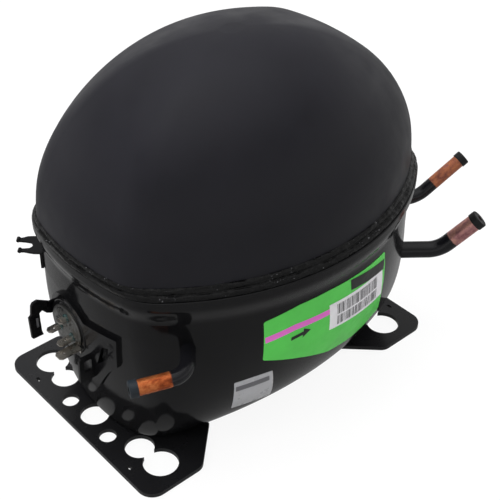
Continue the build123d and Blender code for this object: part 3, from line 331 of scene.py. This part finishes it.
ORANGE = [(100, 44, 24), (178, 88, 46), (212, 126, 74), (146, 80, 56)]
STREAKED = [(112, 66, 62), (168, 104, 82), (196, 122, 86), (146, 100, 104)]
MAUVE = [(138, 88, 92), (184, 130, 130), (214, 158, 142), (168, 116, 130)]
ALONG_X = (0.1, 1, 1)
ALONG_Y = (1, 0.1, 1)
ALONG_Z = (1, 1, 0.05)

M = {
    "gloss": enamel("shell_gloss", (0.0042, 0.0042, 0.0046), 0.12, 0.0004, 0.000008, 0.24, 0.1),
    "satin": enamel("shell_satin", (0.0095, 0.0093, 0.0125), 0.40, 0.0001, 0.000008, 0.22, 0.03),
    "plate": enamel("plate_enamel", (0.009, 0.009, 0.0100), 0.26, 0.0004, 0.00002, 0.42, 0.2),
    "bracket": enamel("bracket_enamel", (0.0035, 0.0035, 0.004), 0.2, 0.0002, 0.00003, 0.24, 0.3),
    "weld": weld_material(),
    "cu_suction": copper_tube("copper_suction", *bare(SUCTION_END, 20.0), MAUVE),
    "cu_discharge": copper_tube("copper_discharge", *bare(DISCHARGE_END, 24.0), STREAKED),
    "cu_process": copper_tube("copper_process", *bare(PROCESS_END, 20.0), ORANGE),
    "cap": simple("rubber_cap", (0.007, 0.007, 0.0075), 0.5, grain=700, spec=0.3),
    "cap_blue": simple("rubber_cap_blue", (0.012, 0.017, 0.022), 0.45, grain=700, spec=0.3),
    # near-black: painted shade of the recess in the end of the process cap
    "hole": simple("cap_recess_painted_shade", (0.001, 0.001, 0.001), 0.7, grain=700, spec=0.1),
    "patch": simple("bare_patch", lin((150, 150, 154)), 0.4, 0.6, grain=700),
    "steel": simple("pressed_steel", lin((150, 150, 152)), 0.36, 1.0, grain=900, var=0.2),
    "dark_steel": simple("dark_steel", lin((96, 96, 100)), 0.42, 1.0, grain=800, depth=0.00004, var=0.2),
    "ground": simple("ground_steel", lin((190, 190, 194)), 0.2, 1.0, 2400, 0.000008, stretch=ALONG_Z),
    "pin": simple("tinned_blade", lin((196, 190, 182)), 0.3, 1.0, 1500, 0.00002, stretch=ALONG_X),
    "header": simple("terminal_cup", lin((120, 120, 118)), 0.3, 1.0, 420, 0.0003, var=0.3),
    "glass": simple("sealing_glass", (0.02, 0.05, 0.05), 0.08, grain=300, depth=0.00005),
    "spring": simple("spring_wire", lin((120, 120, 124)), 0.3, 1.0, 1500, 0.00001),
    "nylon": simple("nylon", lin((214, 208, 186)), 0.45, grain=600, var=0.05),
    "muffler": simple("muffler_plastic", lin((222, 216, 196)), 0.42, grain=500, depth=0.00004, var=0.05),
    "liner": simple("slot_film", lin((226, 222, 200)), 0.35, grain=500, var=0.06),
    "iron": simple("cast_iron", lin((86, 87, 92)), 0.6, 0.7, 1100, 0.00018, 0.2, fine=(3000, 0.00005)),
    "crank": simple("crank_iron", lin((128, 128, 132)), 0.38, 0.9, 1300, 0.00006, 0.15),
    "alu": simple("die_cast", lin((186, 188, 192)), 0.42, 0.95, 900, 0.00006, 0.1),
    "gasket": simple("gasket_fibre", (0.03, 0.04, 0.035), 0.75, grain=900, depth=0.00005),
    "reed": simple("blued_strip", lin((110, 116, 140)), 0.22, 1.0, 1800, 0.000008, stretch=ALONG_Y),
    "lead": simple("lead_sleeve", lin((200, 190, 170)), 0.6, grain=1200, depth=0.00006),
    "line": simple("drawn_copper", lin((196, 120, 84)), 0.3, 0.95, 500, 0.00006, 0.25),
    "lamination": lamination(),
    "winding": winding("enamel_wire", (150, 74, 36), (206, 116, 62)),
    "winding2": winding("enamel_wire_start", (122, 50, 28), (176, 84, 44)),
    "green": film("film_green", lin((82, 200, 78)), 0.34),
    "pink": film("film_pink", lin((224, 104, 200)), 0.34),
    "white": film("film_white", lin((226, 224, 228)), 0.36),
    "ink": film("film_black", (0.012, 0.012, 0.012), 0.32),
    "silver": film("film_silver", lin((172, 172, 175)), 0.3),
    "silver_ink": film("film_silver_grey", lin((96, 96, 100)), 0.34),
}

FINISH = {
    "gloss": ["lower_housing"],
    "satin": ["upper_housing"],
    "weld": ["seam_weld"],
    "plate": ["foot_plate_near", "foot_plate_far"],
    "cu_suction": ["suction_stub"],
    "cu_discharge": ["discharge_stub"],
    "cu_process": ["process_stub"],
    "cap": ["suction_cap", "discharge_cap"],
    "cap_blue": ["process_cap"],
    "header": ["terminal_header"],
    "glass": ["terminal_glass"],
    "pin": ["terminal_pins", "earth_spade"],
    "bracket": ["terminal_bracket", "hook_clip"],
    "green": ["rating_label"],
    "silver": ["serial_label"],
    "dark_steel": ["spring_seats_lower", "stator_bolts", "discharge_muffler_cover", "discharge_muffler_bolt",
                   "head_bolts", "oil_pickup"],
    "spring": ["suspension_springs"],
    "nylon": ["spring_buttons_upper", "terminal_plug"],
    "lamination": ["stator_core", "rotor_core"],
    "liner": ["slot_liners"],
    "winding": ["main_winding"],
    "winding2": ["start_winding"],
    "alu": ["rotor_cage", "connecting_rod", "cylinder_head"],
    "crank": ["crankshaft", "piston"],
    "ground": ["thrust_washer", "crankpin_bush", "wrist_pin", "valve_plate"],
    "steel": ["wrist_pin_lock", "reed_rivet"],
    "iron": ["cylinder_block"],
    "gasket": ["cylinder_gasket", "head_gasket"],
    "reed": ["suction_reed", "discharge_reed", "reed_stop"],
    "muffler": ["suction_muffler_body", "suction_muffler_cover"],
    "line": ["discharge_line"],
    "lead": ["motor_leads"],
}
done = set()
for key, names in FINISH.items():
    for n in names:
        o = nodes[n]
        o.data.materials.clear()
        o.data.materials.append(M[key])
        done.add(n)
        for p in o.data.polygons:
            p.use_smooth = True
assert done == set(nodes), set(nodes) ^ done


# ---------------------------------------------------------------- helpers for pieces
def mesh_piece(name, verts, faces, mat, body="housing", smooth=True):
    """New piece on a body, with its finish."""
    me = bpy.data.meshes.new(name)
    me.from_pydata([tuple(v) for v in verts], [], faces)
    me.update()
    ob = add_object(name, me)
    me.materials.append(mat)
    for p in me.polygons:
        p.use_smooth = smooth
    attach(ob, body)
    return ob


def tree(node):
    """Search tree over a node's surface."""
    data = nodes[node].data
    verts = [v.co.copy() for v in data.vertices]
    return BVHTree.FromPolygons(verts, [list(p.vertices) for p in data.polygons])


def mixed(p, q, t):
    """Point between two flat points."""
    return (p[0] * (1 - t) + q[0] * t, p[1] * (1 - t) + q[1] * t)


def distance(p, q):
    return math.hypot(q[0] - p[0], q[1] - p[1])


def decal(name, bvh, quads, mat, lift=0.00005, step=1.2):
    """Printed areas lying on a label; quads are four (x, z) corners in mm, seen from the front."""
    in_front = -0.2
    verts, faces = [], []
    for a, b, c, d in quads:
        nu = max(1, math.ceil(max(distance(a, b), distance(d, c)) / step))
        nv = max(1, math.ceil(max(distance(a, d), distance(b, c)) / step))
        grid = {}
        for j in range(nv + 1):
            for i in range(nu + 1):
                x, z = mixed(mixed(a, b, i / nu), mixed(d, c, i / nu), j / nv)
                hit, nor, _, _ = bvh.ray_cast(Vector((x / 1000, in_front, z / 1000)), Vector((0, 1, 0)))
                if hit is None:
                    continue
                if nor.y > 0:
                    nor = -nor
                grid[i, j] = len(verts)
                verts.append(hit + nor * lift)
        for j in range(nv):
            for i in range(nu):
                k = [(i, j), (i + 1, j), (i + 1, j + 1), (i, j + 1)]
                if all(q in grid for q in k):
                    faces.append([grid[q] for q in k])
    return mesh_piece(name, verts, faces, mat)


# ---------------------------------------------------------------- weld between the housings
rim_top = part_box("lower_housing")[1][2]
weld_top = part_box("seam_weld")[1][2]
dome_low, dome_high = (Vector(v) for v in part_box("upper_housing"))
dome_mid = (dome_low + dome_high) / 2
rim_tree = tree("lower_housing")
dome_tree = tree("upper_housing")


def seam_bead():
    """Two rough beads laid one above the other from the rim up to the dome."""
    around, across = 1200, 24
    reach = 0.3                         # the rays start this far outside
    lip_depth, foot_depth = 0.0015, 0.0006
    overlap = 0.0004                    # the bead starts this far below the rim's top
    climb = weld_top - rim_top + 0.0006
    low_bead, high_bead = 0.0011, 0.0008
    verts, faces = [], []
    for i in range(around):
        turn = 2 * math.pi * i / around
        out = Vector((math.cos(turn), math.sin(turn), 0))
        lean = (out + Vector((0, 0, 0.8))).normalized()
        far = out * reach + Vector((dome_mid.x, dome_mid.y, 0))
        rim = rim_tree.ray_cast(far + Vector((0, 0, rim_top - lip_depth)), -out)[0]
        dome = dome_tree.ray_cast(far + Vector((0, 0, weld_top - foot_depth)), -out)[0]
        for j in range(across + 1):
            s = j / across
            t = 0.22 + 0.80 * s
            p = rim * (1 - t) + dome * t
            p.z = rim_top - overlap + climb * s
            run = Vector((math.cos(turn) * 11, math.sin(turn) * 11, s * 3.2))
            rough = 0.00042 * noise.noise(run) + 0.00022 * noise.noise(run * 3.1)
            bead = (low_bead if s < 0.5 else high_bead) * abs(math.sin(2 * math.pi * s)) ** 0.7
            swell = 1 + 0.35 * noise.noise(Vector((turn * 9, s * 2, 3.0)))
            calm = min(1.0, s * 8, (1 - s) * 8)
            verts.append(p + lean * (bead * swell + rough * calm))
    row = across + 1
    for i in range(around):
        k = (i + 1) % around
        for j in range(across):
            faces.append((i * row + j, k * row + j, k * row + j + 1, i * row + j + 1))
    return mesh_piece("weld_beads", verts, faces, M["weld"])


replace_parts(seam_bead(), "seam_weld")


# ---------------------------------------------------------------- copies of the springs, pipe and lead sleeves
def flexing(name, node):
    """Copy of a node, with the node itself hidden and the copy's placing baked into its points."""
    ob = add_object(name, nodes[node].data.copy())
    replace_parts(ob, node)
    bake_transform(ob)


flexing("coil_springs", "suspension_springs")
flexing("discharge_pipe", "discharge_line")
flexing("lead_sleeves", "motor_leads")


# ---------------------------------------------------------------- small details on the housing
def disc(name, node, origin, heading, radius, mat, height=0.0, relief=None, rings=6, around=36,
         body="housing"):
    """Round patch laid on a node's surface, found along a heading; height raises its middle."""
    back_off, lift = 0.03, 0.00004
    bvh = tree(node)
    heading = Vector(heading).normalized()
    side = heading.orthogonal().normalized()
    up = heading.cross(side)
    origin = Vector(origin)
    verts, faces = [], []
    for r in range(rings + 1):
        share = r / rings
        for k in range(around if r else 1):
            turn = 2 * math.pi * k / around
            out = (side * math.cos(turn) + up * math.sin(turn)) * radius * r / rings
            hit, normal, _, _ = bvh.ray_cast(origin - heading * back_off + out, heading)
            if hit is None:
                hit, normal = origin + out, -heading
            if normal.dot(heading) > 0:
                normal = -normal
            rise = height * (1 - share ** 2) + lift
            if relief:
                rise += relief(out, share)
            verts.append(hit + normal * rise)
    for k in range(around):
        n = (k + 1) % around
        faces.append((0, 1 + k, 1 + n))
        for r in range(1, rings):
            a = 1 + (r - 1) * around
            faces.append((a + k, a + around + k, a + around + n, a + n))
    return mesh_piece(name, verts, faces, mat, body)


def strap_spots():
    """Two spot welds, one above the other, on the strap of the bracket."""
    for i, (y, z) in enumerate(((-0.0272, 0.0712), (-0.0264, 0.0639))):
        disc(f"strap_spot_{i}", "terminal_bracket", (-0.098, y, z), (1, 0.35, 0), 0.0019, M["bracket"],
             height=0.0004)


def creases(out, share):
    """Crumpled skin of the sealing compound, calmer at its edge."""
    folds = abs(noise.noise(Vector((out.y * 420, out.z * 420, 1.7))))
    fine = noise.noise(out * 1500)
    return (0.00095 * (0.5 - folds) + 0.00012 * fine) * min(1.0, (1 - share) * 6) + 0.00002


def terminal_seal():
    """Crumpled sealing compound on the face of the terminal."""
    low, high = (Vector(v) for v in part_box("terminal_header"))
    middle = (low + high) / 2
    middle.x = low.x
    disc("terminal_seal", "terminal_header", middle, (1, 0, 0), 0.0103, M["header"],
         relief=creases, rings=26, around=120)


def process_cap_painted_recess():
    """Flat near-black disc on the end of the process stub's cap: painted shade standing in for the recess in
    the cap.
    """
    way = way_out(PROCESS_END)
    aim_past_end = 0.0002
    # flat disc: the recess is painted shade, not cut into the cap
    disc("process_cap_painted_recess", "process_cap", Vector(PROCESS_END[1]) / 1000 + way * aim_past_end, -way, 0.0019,
         M["hole"], rings=4, around=28, body="process_cap")


def ear_patch():
    """Bare metal at the bottom of the recess in the upper ear."""
    x0, x1 = -0.1066, -0.1049
    y = 0.02502
    z0, z1 = 0.0564, 0.0634
    corners = [(x0, y, z0), (x1, y, z0), (x1, y, z1), (x0, y, z1)]
    mesh_piece("ear_patch", corners, [(0, 1, 2, 3)], M["patch"], smooth=False)


strap_spots()
terminal_seal()
process_cap_painted_recess()
ear_patch()


# ---------------------------------------------------------------- floor, world, light
def shader(nt, kind, level, strength=None):
    """Grey shader of a kind, with a strength where it has one."""
    n = nt.nodes.new(kind)
    n.inputs[0].default_value = (level, level, level, 1)
    if strength is not None:
        n.inputs[1].default_value = strength
    return n.outputs[0]


def seen_by(nt, camera, glossy):
    """Mix factor: one share for camera rays, another for glossy and transmission rays."""
    lp = nt.nodes.new("ShaderNodeLightPath")

    def op(kind, a, b):
        n = nt.nodes.new("ShaderNodeMath")
        n.operation = kind
        for i, v in enumerate((a, b)):
            if isinstance(v, float):
                n.inputs[i].default_value = v
            else:
                nt.links.new(v, n.inputs[i])
        return n.outputs[0]

    mirror = op("MAXIMUM", lp.outputs["Is Glossy Ray"], lp.outputs["Is Transmission Ray"])
    return op("MAXIMUM", op("MULTIPLY", lp.outputs["Is Camera Ray"], camera), op("MULTIPLY", mirror, glossy))


def blended(nt, factor, first, second):
    """Mix of two shaders."""
    n = nt.nodes.new("ShaderNodeMixShader")
    nt.links.new(factor, n.inputs[0])
    nt.links.new(first, n.inputs[1])
    nt.links.new(second, n.inputs[2])
    return n.outputs[0]


def floor():
    """Pale floor: white to the camera apart from the shadow, dim in mirrors."""
    half = 6
    z = -0.0002
    me = bpy.data.meshes.new("floor")
    corners = [(-half, -half, z), (half, -half, z), (half, half, z), (-half, half, z)]
    me.from_pydata(corners, [], [(0, 1, 2, 3)])
    ob = add_object("floor", me)
    mat = bpy.data.materials.new("floor")
    mat.use_nodes = True
    nt = mat.node_tree
    nt.nodes.clear()
    lit = shader(nt, "ShaderNodeBsdfDiffuse", 0.75)
    dim = shader(nt, "ShaderNodeEmission", 1, 0.27)
    white = shader(nt, "ShaderNodeEmission", 1, 1.04)
    mirrored = blended(nt, seen_by(nt, 0.0, 0.9), lit, dim)
    out = nt.nodes.new("ShaderNodeOutputMaterial")
    nt.links.new(blended(nt, seen_by(nt, 0.88, 0.0), mirrored, white), out.inputs[0])
    me.materials.append(mat)


# level of the room in mirrors, by the height of the direction: pale horizon, dark walls, white ceiling
MIRROR_SKY = [(0.0, 0.75), (0.3, 0.62), (0.55, 0.28), (1.0, 1.0)]


def room():
    """White to the camera, a soft even light on surfaces, a shaded room in mirrors."""
    world = bpy.data.worlds.new("world")
    bpy.context.scene.world = world
    world.use_nodes = True
    nt = world.node_tree
    nt.nodes.clear()
    way = nt.nodes.new("ShaderNodeTexCoord")
    split = nt.nodes.new("ShaderNodeSeparateXYZ")
    sky = nt.nodes.new("ShaderNodeValToRGB")
    steps = sky.color_ramp.elements
    while len(steps) < len(MIRROR_SKY):
        steps.new(0.5)
    for step, (place, level) in zip(steps, MIRROR_SKY):
        step.position = place
        step.color = (level, level, level, 1)
    nt.links.new(way.outputs["Generated"], split.inputs[0])
    nt.links.new(split.outputs["Z"], sky.inputs[0])
    even = shader(nt, "ShaderNodeBackground", 1, 0.48)
    white = shader(nt, "ShaderNodeBackground", 1, 1.0)
    shaded = shader(nt, "ShaderNodeBackground", 1, 1.0)
    nt.links.new(sky.outputs[0], shaded.node.inputs[0])
    indoors = blended(nt, seen_by(nt, 0.0, 1.0), even, shaded)
    out = nt.nodes.new("ShaderNodeOutputWorld")
    nt.links.new(blended(nt, seen_by(nt, 1.0, 0.0), indoors, white), out.inputs[0])


def lamp(name, place, width, height, power):
    """Area lamp aimed at the object, not seen in mirrors."""
    d = bpy.data.lights.new(name, "AREA")
    d.energy = power
    d.shape = "RECTANGLE"
    d.size = width
    d.size_y = height
    o = add_object(name, d)
    o.location = place
    o.rotation_euler = (Vector(place) - AIM).to_track_quat("Z", "Y").to_euler()
    o.visible_glossy = False


floor()
room()
lamp("top", (-0.1, 0.5, 1.6), 1.4, 1.4, 36)
lamp("right", (1.5, -0.1, 0.7), 0.5, 1.0, 12)
lamp("left", (-1.4, 0.2, 0.8), 0.6, 0.9, 9)

# ---------------------------------------------------------------- printed labels, without words
STRIPE = [
    [(-37.0, 72.5), (-19.6, 75.3), (-20.0, 79.3), (-37.5, 76.5)],
    [(-19.6, 75.3), (2.6, 75.1), (2.2, 79.0), (-20.0, 79.3)],
]
PANEL = [(4.0, 62.5), (53.4, 55.4), (46.7, 79.2), (1.1, 81.6)]
HEAD = [(17.1, 83.0), (48.4, 77.6), (47.9, 84.6), (16.0, 90.2)]
ARROW = [
    [(-21.5, 68.6), (-14.5, 69.6), (-14.5, 72.0), (-21.5, 71.0)],
    [(-14.5, 67.6), (-10.0, 71.2), (-10.0, 71.4), (-14.5, 74.0)],
]
SERIAL_HEAD = [(-47.2, 40.5), (-28.6, 41.0), (-29.8, 45.6), (-47.9, 44.7)]


def inside(panel, u0, u1, v0, v1):
    """Quad within a panel, given as shares of its width from the left and its height from the bottom."""
    a, b, c, d = panel
    return [mixed(mixed(a, b, u), mixed(d, c, u), v) for u, v in ((u0, v0), (u1, v0), (u1, v1), (u0, v1))]


def panel_bars():
    """Two rows of plain bars of uneven width on the pale panel."""
    first, last = 0.12, 0.86
    bars = []
    for low, high in ((0.10, 0.46), (0.52, 0.90)):
        u = first
        while u < last:
            wide = random.choice((0.006, 0.009, 0.015))
            bars.append(inside(PANEL, u, u + wide, low, high))
            u += wide + random.choice((0.008, 0.012, 0.018))
    return bars


label = tree("rating_label")
decal("label_stripe", label, STRIPE, M["pink"])
decal("label_panel", label, [PANEL], M["white"], lift=0.0001)
decal("label_header", label, [HEAD], M["ink"], lift=0.00015)
decal("label_bars", label, panel_bars(), M["ink"], lift=0.00016, step=2.5)
decal("label_arrow", label, ARROW, M["ink"], lift=0.0001)
decal("serial_header", tree("serial_label"), [SERIAL_HEAD], M["silver_ink"])
